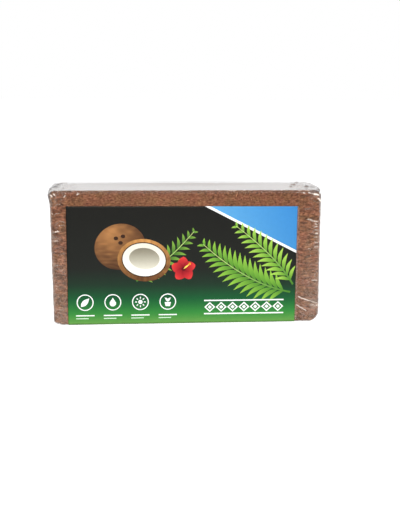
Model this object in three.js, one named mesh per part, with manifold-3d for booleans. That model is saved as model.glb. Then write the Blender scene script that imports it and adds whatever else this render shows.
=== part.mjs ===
// A pressed block of coconut coir, in a printed paper wrap and a clear shrink film.
// Millimetres, +Z up. The pack stands on one long narrow side, with the printed front towards -Y.
// The origin is on the ground, under the middle of the base.
import * as THREE from "three";
import Module from "manifold-3d";
import { mergeVertices } from "three/addons/utils/BufferGeometryUtils.js";

const wasm = await Module();
wasm.setup();

// Driving dimensions of the coir block: rim rounds the edges of its two large faces, and the corners
// round the four short edges, some of them more worn than others. The block came out of its press a
// little askew: lean is how far its ends lean to the left for each millimetre of height.
const BRICK = { length: 201.5, depth: 55, height: 101, rim: 1, lean: 0.011 };
const CORNERS = { topLeft: 3.5, topRight: 4, bottomLeft: 4, bottomRight: 7.4 };

// The layers round the block, from the inside out.
const GAP = 0.3;
const PAPER = 0.3;
const FILM = 0.3;
const PAPER_INSIDE = GAP;
const PAPER_OUTSIDE = PAPER_INSIDE + PAPER;
const FILM_INSIDE = PAPER_OUTSIDE + GAP;
const FILM_OUTSIDE = FILM_INSIDE + FILM;
const CENTRE_HEIGHT = BRICK.height / 2 + FILM_OUTSIDE;

// The paper wrap runs up the front, under the base and up the back.
const WRAP = { left: -91, right: 84, frontTop: 90.9, backTop: 78 };

// The coir's lumps, the pits between them and the crumbled edges: how deep, and how far across. Noise
// below the level leaves no pit and crumbles nothing.
const BROAD_LUMPS = { depth: 0.3, size: 17 };
const SMALL_LUMPS = { depth: 0.25, size: 6.5 };
const PITS = { depth: 1.8, size: 9, level: 0.45 };
const CRUMBLED = { depth: 5, size: 8, level: 0.05 };

// The film's end seals, its gathered corners, or ears, and the pleats and crumples round them. An ear
// sticks out from the end, most of all behind mid depth.
const END_SEAL = { height: 1.3, halfWidth: 0.9, fadeStart: 2, fadeEnd: 9 };
const EAR = { topReach: 2.8, baseReach: 1.2, centre: 6, halfWidth: 21, tall: 10, inward: 8 };
const PLEAT = { height: 0.55, pitch: 7, start: 2, reach: 14, waver: 2.5, waverSize: 23 };
const CRUMPLE = { height: 0.8, size: 4, start: 3, reach: 16 };

// The film's lap seal along the back, and its two vents.
const LAP = { height: 0.35, halfWidth: 5, hem: 0.6 };
const VENT = { radius: 1.5, across: 62, height: 91, sides: 12 };

const clamp = THREE.MathUtils.clamp;
const smoothstep = THREE.MathUtils.smoothstep;

// A fixed pseudo-random value from -1 to 1 for each whole-number cell.
function cellValue(i, j, k) {
  let h = Math.imul(i, 374761393) + Math.imul(j, 668265263) + Math.imul(k, 2147483647);
  h = Math.imul(h ^ (h >>> 13), 1274126177);
  return ((h ^ (h >>> 16)) >>> 0) / 2147483648 - 1;
}

// Smooth noise from -1 to 1, whose lumps are about one size across.
function noise(point, size, shift = 0) {
  const at = point.clone().divideScalar(size).addScalar(shift);
  const cell = at.clone().floor();
  const f = at.sub(cell);
  const ease = (t) => t * t * (3 - 2 * t);
  const [u, v, w] = [ease(f.x), ease(f.y), ease(f.z)];
  let sum = 0;
  for (const [di, dj, dk] of CELL_CORNERS) {
    const weight = (di ? u : 1 - u) * (dj ? v : 1 - v) * (dk ? w : 1 - w);
    sum += weight * cellValue(cell.x + di, cell.y + dj, cell.z + dk);
  }
  return sum;
}
const CELL_CORNERS = [0, 1, 2, 3, 4, 5, 6, 7].map((n) => [n & 1, (n >> 1) & 1, n >> 2]);

// The sizes of the block grown by a layer on every side.
function grownBy(layer) {
  return {
    half: new THREE.Vector3(
      BRICK.length / 2 + layer,
      BRICK.depth / 2 + layer,
      BRICK.height / 2 + layer,
    ),
    rim: BRICK.rim + layer,
    layer,
  };
}

// The radius of the round corner nearest to (x, z).
function cornerAt(x, z, size) {
  const [left, right] =
    z > 0 ? [CORNERS.topLeft, CORNERS.topRight] : [CORNERS.bottomLeft, CORNERS.bottomRight];
  return (x < 0 ? left : right) + size.layer;
}

// Grid lines from one side to the other: the steps come in from both edges, with even spans between.
function gridLines(half, steps, spans) {
  const inner = half - steps.at(-1);
  const lines = steps.slice(0, -1).map((s) => s - half);
  for (let i = 0; i <= spans; i++) lines.push(-inner + (2 * inner * i) / spans);
  return lines.concat(steps.slice(0, -1).reverse().map((s) => half - s));
}

// The nearest point to (x, z) on the block's front outline, pulled in by the rim.
function coreOutline(x, z, size) {
  const corner = cornerAt(x, z, size);
  const boxX = clamp(x, corner - size.half.x, size.half.x - corner);
  const boxZ = clamp(z, corner - size.half.z, size.half.z - corner);
  const away = Math.hypot(x - boxX, z - boxZ);
  const most = corner - size.rim;
  const share = away > most ? most / away : 1;
  return [boxX + (x - boxX) * share, boxZ + (z - boxZ) * share];
}

// A closed slab with round corners and rims, about its own centre. relief(point, normal) moves each
// point out along its normal, and stretch(point) moves it further out from the middle of the length.
function slab(size, lines, relief = () => 0, stretch = () => 0) {
  const counts = lines.map((l) => l.length - 1);
  const box = new THREE.BoxGeometry(2, 2, 2, ...counts);
  const position = box.getAttribute("position");
  const p = new THREE.Vector3();
  const q = new THREE.Vector3();
  const deep = size.half.y - size.rim;
  for (let i = 0; i < position.count; i++) {
    p.fromBufferAttribute(position, i);
    const [x, y, z] = p.toArray().map((t, a) => lines[a][Math.round(((t + 1) / 2) * counts[a])]);
    p.set(x, y, z);
    const [coreX, coreZ] = coreOutline(x, z, size);
    q.set(coreX, clamp(y, -deep, deep), coreZ);
    const normal = p.clone().sub(q).normalize();
    q.addScaledVector(normal, size.rim);
    q.addScaledVector(normal, relief(q, normal));
    const outward = Math.sign(q.x) * stretch(q);
    position.setXYZ(i, q.x + outward - BRICK.lean * q.z, q.y, q.z);
  }
  return box;
}

// A closed geometry as a manifold-3d solid.
function solidOf(geometry) {
  const bare = geometry.clone();
  bare.deleteAttribute("normal");
  bare.deleteAttribute("uv");
  const merged = mergeVertices(bare, 1e-4);
  return new wasm.Manifold(
    new wasm.Mesh({
      numProp: 3,
      vertProperties: merged.getAttribute("position").array,
      triVerts: new Uint32Array(merged.getIndex().array),
    }),
  );
}

// A manifold-3d solid as a flat-shaded geometry.
function geometryOf(solid) {
  const mesh = solid.getMesh();
  const geometry = new THREE.BufferGeometry();
  geometry.setAttribute("position", new THREE.BufferAttribute(mesh.vertProperties, 3));
  geometry.setIndex(new THREE.BufferAttribute(mesh.triVerts, 1));
  const flat = geometry.toNonIndexed();
  flat.computeVertexNormals();
  return flat;
}

// The coir block: every lump, pit and crumbled edge lies inside the pressed outline.
function coirBrick() {
  const size = grownBy(0);
  const lines = [
    gridLines(size.half.x, [0, 0.5, 1.5, 4, 7.4], 20),
    gridLines(size.half.y, [0, 0.4, 1], 8),
    gridLines(size.half.z, [0, 0.5, 1.5, 4, 7.4], 10),
  ];
  const relief = (point, normal) => {
    const broad = BROAD_LUMPS.depth * (1 + noise(point, BROAD_LUMPS.size));
    const small = SMALL_LUMPS.depth * (1 + noise(point, SMALL_LUMPS.size, 40));
    const pits = PITS.depth * Math.max(0, noise(point, PITS.size, 80) - PITS.level);
    const onEdge = 1 - Math.max(...normal.toArray().map(Math.abs));
    const loose = Math.max(0, noise(point, CRUMBLED.size, 120) - CRUMBLED.level);
    return -(broad + small + pits + CRUMBLED.depth * onEdge * loose);
  };
  return slab(size, lines, relief);
}

// The paper wrap: one sheet with its bends rounded under the block, drawn from the end and extruded.
function paperWrap() {
  const half = BRICK.depth / 2;
  const low = -BRICK.height / 2;
  const frontTop = WRAP.frontTop - CENTRE_HEIGHT;
  const backTop = WRAP.backTop - CENTRE_HEIGHT;
  const outline = new THREE.Shape();
  const bend = (layer, from, to, clockwise, side) => {
    const centreY = side * (half - BRICK.rim);
    outline.absarc(centreY, low + BRICK.rim, BRICK.rim + layer, from, to, clockwise);
  };
  outline.moveTo(-half - PAPER_OUTSIDE, frontTop);
  bend(PAPER_OUTSIDE, Math.PI, 1.5 * Math.PI, false, -1);
  bend(PAPER_OUTSIDE, 1.5 * Math.PI, 2 * Math.PI, false, 1);
  outline.lineTo(half + PAPER_OUTSIDE, backTop);
  outline.lineTo(half + PAPER_INSIDE, backTop);
  bend(PAPER_INSIDE, 2 * Math.PI, 1.5 * Math.PI, true, 1);
  bend(PAPER_INSIDE, 1.5 * Math.PI, Math.PI, true, -1);
  outline.lineTo(-half - PAPER_INSIDE, frontTop);
  outline.closePath();
  const sheet = new THREE.ExtrudeGeometry(outline, {
    depth: WRAP.right - WRAP.left,
    bevelEnabled: false,
    curveSegments: 5,
  });
  // The shape's x, y and depth become the pack's y, z and x.
  sheet.applyMatrix4(
    new THREE.Matrix4().makeBasis(
      new THREE.Vector3(0, 1, 0),
      new THREE.Vector3(0, 0, 1),
      new THREE.Vector3(1, 0, 0),
    ),
  );
  return sheet.translate(WRAP.left, 0, 0);
}

// How far the film stands off its plain shape: only ever outwards, and never under the base.
function filmRelief(point, normal) {
  const size = grownBy(FILM_OUTSIDE);
  const clearOfBase = 1 - smoothstep(-normal.z, 0.35, 0.8);
  const fromTop = size.half.z - Math.abs(point.z);
  const fromEnd = size.half.x - Math.abs(point.x);
  const onEnd = smoothstep(Math.abs(normal.x), 0.5, 0.9);

  const alongSeal = smoothstep(fromTop, END_SEAL.fadeStart, END_SEAL.fadeEnd);
  const seal = END_SEAL.height * Math.exp(-((point.y / END_SEAL.halfWidth) ** 2)) * alongSeal * onEnd;

  const nearEnd = 1 - smoothstep(fromEnd, PLEAT.start, PLEAT.reach);
  const waver = PLEAT.waver * noise(point, PLEAT.waverSize, 7);
  const wave = Math.cos((2 * Math.PI * point.z) / PLEAT.pitch + waver);
  const pleats = PLEAT.height * Math.max(0, wave) ** 2 * nearEnd * smoothstep(fromTop, 1, 8);

  const fromCorner = Math.hypot(fromEnd, fromTop);
  const nearCorner = 1 - smoothstep(fromCorner, CRUMPLE.start, CRUMPLE.reach);
  const crumples = CRUMPLE.height * Math.max(0, noise(point, CRUMPLE.size, 31)) * nearCorner;

  const onBack = smoothstep(normal.y, 0.9, 1);
  const lapEdge = Math.abs(point.z) - LAP.halfWidth;
  const lap = LAP.height * (1 - smoothstep(lapEdge, 0, LAP.hem)) * onBack;

  return Math.max(lap, clearOfBase * (seal + Math.max(pleats, crumples)));
}

// How far an ear stretches the film out from the end.
function earStretch(point) {
  const size = grownBy(FILM_OUTSIDE);
  const reach = point.z > 0 ? EAR.topReach : EAR.baseReach;
  const across = Math.exp(-(((point.y - EAR.centre) / EAR.halfWidth) ** 4));
  const down = Math.exp(-(((size.half.z - Math.abs(point.z)) / EAR.tall) ** 2));
  const inward = 1 - smoothstep(size.half.x - Math.abs(point.x), 0, EAR.inward);
  return reach * across * down * inward;
}

// The clear film: a thin shell round the wrapped block, open at its two small vents.
function shrinkFilm() {
  const outer = grownBy(FILM_OUTSIDE);
  const inner = grownBy(FILM_INSIDE);
  const seal = END_SEAL.halfWidth;
  const toSeal = outer.half.y - seal;
  const toLap = outer.half.z - LAP.halfWidth;
  const upwardSteps = [0, 1, 2.5, 5.2, 8.6, 12, 17, 22, 27, 32, 37, 42];
  const outerLines = [
    gridLines(outer.half.x, [0, 1, 2.5, 5.2, 8.6, 14], 4),
    gridLines(outer.half.y, [0, 0.9, 2.2, 12, 20, 25, toSeal - seal, toSeal], 2),
    gridLines(outer.half.z, [...upwardSteps, toLap - LAP.hem, toLap], 3),
  ];
  const innerLines = [
    gridLines(inner.half.x, [0, 0.8, 1.9, 4.9, 8.3], 1),
    gridLines(inner.half.y, [0, 0.8, 1.9], 1),
    gridLines(inner.half.z, [0, 0.8, 1.9, 4.9, 8.3], 1),
  ];
  let shell = solidOf(slab(outer, outerLines, filmRelief, earStretch));
  shell = shell.subtract(solidOf(slab(inner, innerLines)));
  for (const side of [-1, 1]) {
    const drill = new THREE.CylinderGeometry(VENT.radius, VENT.radius, 4, VENT.sides);
    drill.translate(side * VENT.across, outer.half.y, VENT.height - CENTRE_HEIGHT);
    shell = shell.subtract(solidOf(drill));
  }
  return geometryOf(shell);
}

const coir = new THREE.MeshStandardMaterial({ color: 0x8c5f46, roughness: 0.95, metalness: 0 });
const paper = new THREE.MeshStandardMaterial({ color: 0x2f4a34, roughness: 0.5, metalness: 0 });
const film = new THREE.MeshStandardMaterial({
  color: 0xf2f0ee,
  roughness: 0.12,
  metalness: 0,
  transparent: true,
  opacity: 0.2,
});

// Each piece is modelled about the block's centre, so the group lifts them onto the ground.
const pack = new THREE.Group();
pack.position.z = CENTRE_HEIGHT;
for (const [name, geometry, material] of [
  ["coir_brick", coirBrick(), coir],
  ["paper_wrap", paperWrap(), paper],
  ["shrink_film", shrinkFilm(), film],
]) {
  const mesh = new THREE.Mesh(geometry, material);
  mesh.name = name;
  pack.add(mesh);
}

export default pack;
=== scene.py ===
import math

import bpy
import numpy as np
from mathutils import Matrix, Vector, noise
from mathutils.geometry import delaunay_2d_cdt


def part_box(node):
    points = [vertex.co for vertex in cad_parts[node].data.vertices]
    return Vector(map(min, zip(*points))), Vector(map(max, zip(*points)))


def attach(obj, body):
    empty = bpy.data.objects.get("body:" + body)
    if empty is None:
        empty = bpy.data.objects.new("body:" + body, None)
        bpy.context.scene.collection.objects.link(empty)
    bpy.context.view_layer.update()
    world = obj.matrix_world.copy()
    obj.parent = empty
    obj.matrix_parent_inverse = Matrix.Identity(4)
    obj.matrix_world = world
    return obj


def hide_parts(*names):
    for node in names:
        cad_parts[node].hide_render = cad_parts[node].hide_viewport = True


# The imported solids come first. Sizes below are in millimetres, and meshes are made in metres.
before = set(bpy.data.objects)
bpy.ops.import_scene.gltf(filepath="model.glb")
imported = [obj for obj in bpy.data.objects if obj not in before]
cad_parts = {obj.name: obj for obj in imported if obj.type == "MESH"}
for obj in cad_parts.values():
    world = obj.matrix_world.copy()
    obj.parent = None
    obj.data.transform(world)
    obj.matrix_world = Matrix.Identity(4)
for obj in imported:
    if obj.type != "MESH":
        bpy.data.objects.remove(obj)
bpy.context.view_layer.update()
MM = 0.001

# The block's driving sizes, the same as the solids have, and how far each layer lies off it.
# LEAN is how far the block's ends lean to the left for each millimetre of height, and END_FULL is how much
# further the coir fills the film at each end. The base's left corner is squarer here than on the solids,
# and the base rises a little towards it.
LENGTH, DEPTH, HEIGHT, RIM, LEAN = 201.5, 55.0, 101.0, 1.0, 0.011
TOP_LEFT, TOP_RIGHT, BASE_LEFT, BASE_RIGHT = 3.5, 4.0, 1.8, 7.4
BASE_RISE, RISE_START, RISE_END = 1.4, 94.0, 102.0
BARE_PROUD, BARE_RIM = 1.05, 0.6
PAPER_OUTSIDE, PAPER_THICK, PAPER_TILT = 1.08, 0.18, -0.0038
FILM_OUTSIDE, FILM_RIM = 1.2, 0.6
CENTRE_HEIGHT = HEIGHT / 2 + FILM_OUTSIDE
END_FULL = 0.4
SLAB = np.array([LENGTH + 2 * END_FULL, DEPTH, HEIGHT])
SEED = 7


def mm_box(name):
    """A node's lowest and highest corners, in millimetres."""
    low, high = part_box(name)
    return Vector(low) / MM, Vector(high) / MM


PAPER_LOW, PAPER_HIGH = mm_box("paper_wrap")
PAPER_BACK_TOP = 78.0


# Small helpers for numbers and colours.
def smoothstep(t, low, high):
    t = np.clip((t - low) / (high - low), 0, 1)
    return t * t * (3 - 2 * t)


def linear(rgb):
    """A screen colour from 0 to 255 as linear light."""
    c = np.asarray(rgb, float) / 255
    return np.where(c <= 0.04045, c / 12.92, ((c + 0.055) / 1.055) ** 2.4)


def field(points, size, shift=0.0, octaves=1):
    """Smooth noise at each point, about -1 to 1. size is one number, or one for each axis."""
    at = np.asarray(points, float) / size + shift
    if octaves == 1:
        return np.array([noise.noise(Vector(p)) for p in at]) * 1.6
    return np.array([noise.fractal(Vector(p), 1.0, 2.0, octaves) for p in at]) * 1.6


def ridges(values, sharpness):
    """Turns noise into narrow crests, from 0 to 1, along the lines where it is zero."""
    return np.clip(1 - np.abs(values), 0, 1) ** sharpness


# The camera comes first: where the photograph was taken from, worked out from the block's edges.
LENS = 59.44
CAMERA_PLACE = (-45.0, -652.0, 173.3)
CAMERA_YAW, CAMERA_PITCH, CAMERA_ROLL = 5.00, 10.68, 0.41


def make_camera():
    data = bpy.data.cameras.new("camera")
    data.lens = LENS
    data.sensor_width = 36
    data.clip_end = 100
    camera = bpy.data.objects.new("camera", data)
    bpy.context.collection.objects.link(camera)
    turn = Matrix.Rotation(math.radians(-CAMERA_YAW), 4, "Z")
    tilt = Matrix.Rotation(math.radians(90 - CAMERA_PITCH), 4, "X")
    roll = Matrix.Rotation(math.radians(CAMERA_ROLL), 4, "Z")
    camera.matrix_world = Matrix.Translation(Vector(CAMERA_PLACE) * MM) @ turn @ tilt @ roll
    bpy.context.scene.camera = camera


# Node materials.
class Nodes:
    """A material's node tree, written as a chain of calls."""

    def __init__(self, name):
        self.material = bpy.data.materials.new(name)
        self.material.use_nodes = True
        self.tree = self.material.node_tree
        self.tree.nodes.clear()

    def add(self, kind, inputs=None, **settings):
        made = self.tree.nodes.new(kind)
        for key, value in settings.items():
            setattr(made, key, value)
        for key, value in (inputs or {}).items():
            if isinstance(value, bpy.types.NodeSocket):
                self.tree.links.new(value, made.inputs[key])
            else:
                made.inputs[key].default_value = value
        return made

    def math(self, operation, a, b=0.0, c=0.0, clamp=False):
        made = self.add("ShaderNodeMath", {0: a, 1: b, 2: c}, operation=operation, use_clamp=clamp)
        return made.outputs[0]

    def mix(self, share, a, b, blend="MIX"):
        made = self.add("ShaderNodeMix", {0: share, 6: a, 7: b}, data_type="RGBA", blend_type=blend)
        return made.outputs[2]

    def ramp(self, value, stops):
        """A colour ramp. stops are (position, screen colour)."""
        made = self.add("ShaderNodeValToRGB", {0: value})
        elements = made.color_ramp.elements
        while len(elements) < len(stops):
            elements.new(0.5)
        for element, (position, rgb) in zip(elements, stops):
            element.position = position
            element.color = (*linear(rgb), 1)
        return made.outputs[0]

    def noise(self, vector, scale, detail=2.0, rough=0.5, distortion=0.0):
        settings = {"Vector": vector, "Scale": scale, "Detail": detail}
        settings.update({"Roughness": rough, "Distortion": distortion})
        return self.add("ShaderNodeTexNoise", settings).outputs[0]

    def place(self, scale=(1, 1, 1), turn=(0, 0, 0)):
        """Object coordinates in millimetres, turned and stretched."""
        where = self.add("ShaderNodeTexCoord").outputs["Object"]
        turned = self.add("ShaderNodeMapping", {"Vector": where, "Rotation": turn})
        sizes = tuple(1 / (MM * s) for s in scale)
        return self.add("ShaderNodeMapping", {"Vector": turned.outputs[0], "Scale": sizes}).outputs[0]

    def finish(self, shader):
        self.add("ShaderNodeOutputMaterial", {"Surface": shader})
        return self.material


def coir_material(name, dark, mid, light, tone_and_shade=None):
    """Pressed coir: grains, pits and thin strands, with broad patches. The named attribute scales its colour: random
    variation on loose fibres and crumbs, and on the block painted shade in its layers' hollows and a painted shadow
    along its foot.
    """
    n = Nodes(name)
    here = n.place((1.5, 1.5, 0.85))
    grain = n.noise(here, 0.75, 3, 0.6)
    colour = n.ramp(grain, [(0.30, dark), (0.50, mid), (0.70, light)])
    cells = n.add("ShaderNodeTexVoronoi", {"Vector": here, "Scale": 0.8}).outputs["Color"]
    cell = n.add("ShaderNodeSeparateColor", {0: cells}).outputs[0]
    shade = n.math("MULTIPLY_ADD", cell, 0.26, 0.87)
    patches = n.noise(here, 0.045, 2)
    shade = n.math("MULTIPLY", shade, n.math("MULTIPLY_ADD", patches, 0.5, 0.75))
    specks = n.noise(n.place((1, 1, 1), (0.5, 0.9, 0.2)), 0.42, 2, 0.55)
    gathered = n.math("MULTIPLY_ADD", n.noise(here, 0.1, 2), 4.0, -1.3, clamp=True)
    dark_spots = n.math("MULTIPLY", n.math("MULTIPLY_ADD", specks, 3.4, -2.05, clamp=True), gathered)
    shade = n.math("MULTIPLY", shade, n.math("SUBTRACT", 1.0, dark_spots))
    if tone_and_shade:
        own = n.add("ShaderNodeAttribute", attribute_name=tone_and_shade).outputs["Fac"]
        shade = n.math("MULTIPLY", shade, own)
    colour = n.mix(1.0, colour, n.add("ShaderNodeCombineColor", {0: shade, 1: shade, 2: shade}).outputs[0],
                   "MULTIPLY")
    hue = n.ramp(n.noise(n.place((9, 9, 7)), 1.0, 2), [(0.36, (247, 255, 243)), (0.62, (255, 247, 250))])
    colour = n.mix(1.0, colour, hue, "MULTIPLY")
    strands = None
    for turn, length in [((0.4, 0.2, 0.5), 9), ((-0.7, 1.1, -0.3), 7), ((1.3, -0.5, 0.9), 11)]:
        along = n.place((0.55, 0.55, length), turn)
        strand = n.noise(along, 1.0, 1, 0.4, 0.3)
        strands = strand if strands is None else n.math("MAXIMUM", strands, strand)
    thin = n.math("MULTIPLY_ADD", strands, 9.0, -6.2, clamp=True)
    colour = n.mix(n.math("MULTIPLY", thin, 0.35), colour, (*linear(light), 1))
    height = n.math("ADD", n.math("MULTIPLY", grain, 0.7), n.math("MULTIPLY", thin, 0.3))
    bump = n.add("ShaderNodeBump", {"Strength": 0.55, "Distance": 0.5 * MM, "Height": height}).outputs[0]
    rough = n.math("MULTIPLY_ADD", grain, 0.2, 0.78)
    shader = n.add("ShaderNodeBsdfPrincipled", {
        "Base Color": colour, "Roughness": rough, "Normal": bump, "Specular IOR Level": 0.12})
    return n.finish(shader.outputs[0])


def paper_material():
    """Coated paper, printed with the colours that its mesh carries."""
    n = Nodes("printed_paper")
    ink = n.add("ShaderNodeVertexColor", layer_name="ink").outputs[0]
    mottle = n.noise(n.place(), 0.35, 3, 0.6)
    shade = n.math("MULTIPLY_ADD", mottle, 0.10, 0.95)
    colour = n.mix(1.0, ink, n.add("ShaderNodeCombineColor", {0: shade, 1: shade, 2: shade}).outputs[0],
                   "MULTIPLY")
    tooth = n.noise(n.place(), 2.5, 2)
    bump = n.add("ShaderNodeBump", {"Strength": 0.08, "Distance": 0.1 * MM, "Height": tooth}).outputs[0]
    rough = n.math("MULTIPLY_ADD", tooth, 0.1, 0.45)
    shader = n.add("ShaderNodeBsdfPrincipled", {
        "Base Color": colour, "Roughness": rough, "Normal": bump, "Specular IOR Level": 0.1})
    return n.finish(shader.outputs[0])


def paper_core_material():
    """The unprinted inside and the cut edge of the paper."""
    n = Nodes("paper_core")
    fleck = n.noise(n.place(), 1.2, 3)
    colour = n.ramp(fleck, [(0.3, (206, 200, 190)), (0.7, (232, 228, 220))])
    shader = n.add("ShaderNodeBsdfPrincipled", {"Base Color": colour, "Roughness": 0.8})
    return n.finish(shader.outputs[0])


def twice(n, share):
    """What two layers stop, each of which stops the given share."""
    return n.math("MULTIPLY_ADD", n.math("MULTIPLY", share, share), -1.0, n.math("MULTIPLY", share, 2.0))


def film_material():
    """Thin clear film: what lies under it shows through, and it mirrors most at a glancing angle. The mesh says where
    it is crinkled, where it is milky, partly its own milk and partly painted highlights and sheen, and where painted
    shade and dark reflections make it grey."""
    n = Nodes("clear_film")
    crinkle = n.add("ShaderNodeAttribute", attribute_name="crinkle").outputs["Fac"]
    # This attribute carries the film's milk, partly its own and partly painted highlights and sheen.
    milk_and_painted_light = n.add("ShaderNodeAttribute", attribute_name="milk_and_painted_light").outputs["Fac"]
    grey = n.add("ShaderNodeAttribute", attribute_name="grey").outputs["Fac"]
    fine = n.noise(n.place((2.4, 2.4, 1.0)), 1.0, 2, 0.5, 0.8)
    lift = n.math("MULTIPLY", fine, crinkle)
    bump = n.add("ShaderNodeBump", {"Strength": 1.0, "Distance": 0.15 * MM, "Height": lift}).outputs[0]
    facing = n.add("ShaderNodeLayerWeight", {"Blend": 0.5, "Normal": bump}).outputs["Facing"]
    glance = n.math("POWER", facing, 5.0)
    mirror = twice(n, n.math("MULTIPLY_ADD", glance, 0.96, 0.04, clamp=True))
    clear = n.add("ShaderNodeBsdfTransparent", {"Color": (1, 1, 1, 1)}).outputs[0]
    # Painted shade: noise turns the milk's tint darker along creases.
    crease_shade_noise = n.noise(n.place((2.2, 2.2, 1.6)), 1.0, 2, 0.55, 1.2)
    tint = n.ramp(crease_shade_noise, [(0.36, PAINTED_CREASE_SHADE), (0.50, MILK)])
    # Painted highlight: where the milk is thickest, its tint turns a bright warm white.
    bright = n.math("MULTIPLY_ADD", milk_and_painted_light, 6.0, -2.7, clamp=True)
    tint = n.mix(bright, tint, (*linear(PAINTED_GLINT_COLOUR), 1))
    # Painted shade: the grey attribute turns the milk dark grey, for shade and dark reflections.
    tint = n.mix(grey, tint, (*linear(PAINTED_SHADE_GREY), 1))
    milk = n.add("ShaderNodeBsdfDiffuse", {"Color": tint, "Normal": bump}).outputs[0]
    body = n.add("ShaderNodeMixShader", {0: twice(n, milk_and_painted_light), 1: clear, 2: milk}).outputs[0]
    gloss = n.add("ShaderNodeBsdfGlossy", {"Color": (1, 1, 1, 1), "Roughness": 0.06, "Normal": bump})
    shader = n.add("ShaderNodeMixShader", {0: mirror, 1: body, 2: gloss.outputs[0]})
    return n.finish(shader.outputs[0])


# The milk's own pale tint, a darker tint painted into its creases as shade, the grey painted for shade and dark
# reflections, and a bright tint painted for highlights.
MILK, PAINTED_CREASE_SHADE, PAINTED_SHADE_GREY, PAINTED_GLINT_COLOUR = (209, 190, 176), (146, 124, 111), (82, 82, 88), (255, 238, 226)


# The rounded slab that the block and the film share.
def box_lattice(lines):
    """The points of a box's surface on a lattice of the given lines, and the squares between them."""
    counts = [len(line) for line in lines]
    edge = [np.isin(np.arange(c), (0, c - 1)) for c in counts]
    shell = edge[0][:, None, None] | edge[1][None, :, None] | edge[2][None, None, :]
    index = np.full(counts, -1)
    index[shell] = np.arange(shell.sum())
    points = np.stack([line[i] for line, i in zip(lines, np.nonzero(shell))], axis=1)
    faces = []
    for axis in range(3):
        for side in (0, -1):
            sheet = np.take(index, side, axis=axis)
            square = np.stack([sheet[:-1, :-1], sheet[1:, :-1], sheet[1:, 1:], sheet[:-1, 1:]], axis=-1)
            square = square.reshape(-1, 4)
            outwards = (side == -1) != (axis == 1)
            faces.append(square if outwards else square[:, ::-1])
    return points, np.concatenate(faces)


def on_slab(points, layer, rim=None):
    """Points of a box, moved onto the block's round shape grown by layer, with their normals."""
    half = SLAB / 2 + layer
    rim = RIM + layer if rim is None else rim
    x, y, z = points.T
    top = np.where(x < 0, TOP_LEFT, TOP_RIGHT)
    base = np.where(x < 0, BASE_LEFT, BASE_RIGHT)
    corner = np.where(z > 0, top, base) + layer
    box_x = np.clip(x, corner - half[0], half[0] - corner)
    box_z = np.clip(z, corner - half[2], half[2] - corner)
    away = np.hypot(x - box_x, z - box_z)
    share = np.minimum(1, (corner - rim) / np.maximum(away, 1e-9))
    core_x = box_x + (x - box_x) * share
    core_z = box_z + (z - box_z) * share
    core = np.stack([core_x, np.clip(y, rim - half[1], half[1] - rim), core_z], axis=1)
    normals = points - core
    normals /= np.linalg.norm(normals, axis=1, keepdims=True)
    return core + normals * rim, normals


def leaned(points):
    """The points moved as the block leans, and as its base rises at the left."""
    x, _, z = points.T
    rise = BASE_RISE * smoothstep(-x, RISE_START, RISE_END) * np.clip(-z / (HEIGHT / 2), 0, 1) ** 8
    return points + np.stack([-z * LEAN, np.zeros(len(points)), rise], axis=1)


def even_lines(size, layer, step):
    half = size / 2 + layer
    return np.linspace(-half, half, int(round(2 * half / step)) + 1)


def end_lines(size, layer, reach, fine, coarse):
    """Lines that are close together near both ends, and further apart between."""
    half = size / 2 + layer
    near = np.arange(0, reach, fine) - half
    middle = np.linspace(reach - half, half - reach, int(round(2 * (half - reach) / coarse)) + 1)
    return np.concatenate([near, middle, -near[::-1]])


def new_piece(name, points, faces, materials, smooth=True):
    """A mesh object from points in millimetres about the block's centre."""
    mesh = bpy.data.meshes.new(name)
    placed = (np.asarray(points) + (0, 0, CENTRE_HEIGHT)) * MM
    mesh.from_pydata(placed.tolist(), [], np.asarray(faces).tolist())
    mesh.polygons.foreach_set("use_smooth", [smooth] * len(mesh.polygons))
    for material in materials:
        mesh.materials.append(material)
    piece = bpy.data.objects.new(name, mesh)
    bpy.context.collection.objects.link(piece)
    return piece


# The coir block.
# LAYER_DEPTH is how deep the wavy layers near the ends are. LAYER_SHADE paints shade into their hollows and light
# onto their crests, BLOCK_SHADE darkens the whole block's colour a little, and BASE_SHADE paints a contact shadow
# along its foot.
LAYER_DEPTH, LAYER_SHADE, BLOCK_SHADE, BASE_SHADE = 0.25, 0.8, 0.98, 0.45


def coir_relief(points, normals):
    """How deep the block's surface lies under its pressed outline: lumps, grains, pits, worn edges, and
    the wavy layers that show near its ends."""
    grains = 0.07 * (1 + field(points, 1.7, 11))
    small = 0.06 * (1 + field(points, 4.0, 40))
    pits = 1.3 * np.clip(field(points, 3.4, 80) - 0.66, 0, None)
    on_edge = 1 - np.abs(normals).max(axis=1)
    worn = 1.8 * on_edge * np.clip(field(points, 5.0, 120) - 0.1, 0, None)
    layers = LAYER_DEPTH * (layered(points) + smoothstep(np.abs(points[:, 0]), 78, 90))
    covered = (BARE_PROUD + PAPER_THICK + 0.1 - PAPER_OUTSIDE) * (1 - bare_share(points, normals))
    bulge = 0.9 * nub_share(points)
    return broad_relief(points) + small + grains + layers + pits + worn + covered - bulge


def layered(points):
    """The wavy layers near the block's ends, about -1 in front to 1 in their hollows."""
    warp = np.outer(1.4 * field(points, (16, 16, 9), 160), (0, 0, 1))
    streaks = 0.75 * field(points + warp, (6, 6, 1.3), 140) + 0.5 * field(points, (2.2, 2.2, 1.6), 150)
    blotches = 0.75 * field(points + warp, (3.4, 3.4, 2.2), 145) + 0.5 * field(points, (2.0, 2.0, 1.5), 155)
    return np.where(points[:, 0] > 0, streaks, blotches) * smoothstep(np.abs(points[:, 0]), 78, 90)


def broad_relief(points):
    """The block's widest lumps, which the film follows too."""
    return 0.10 * (1 + field(points, 13.0))


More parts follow.
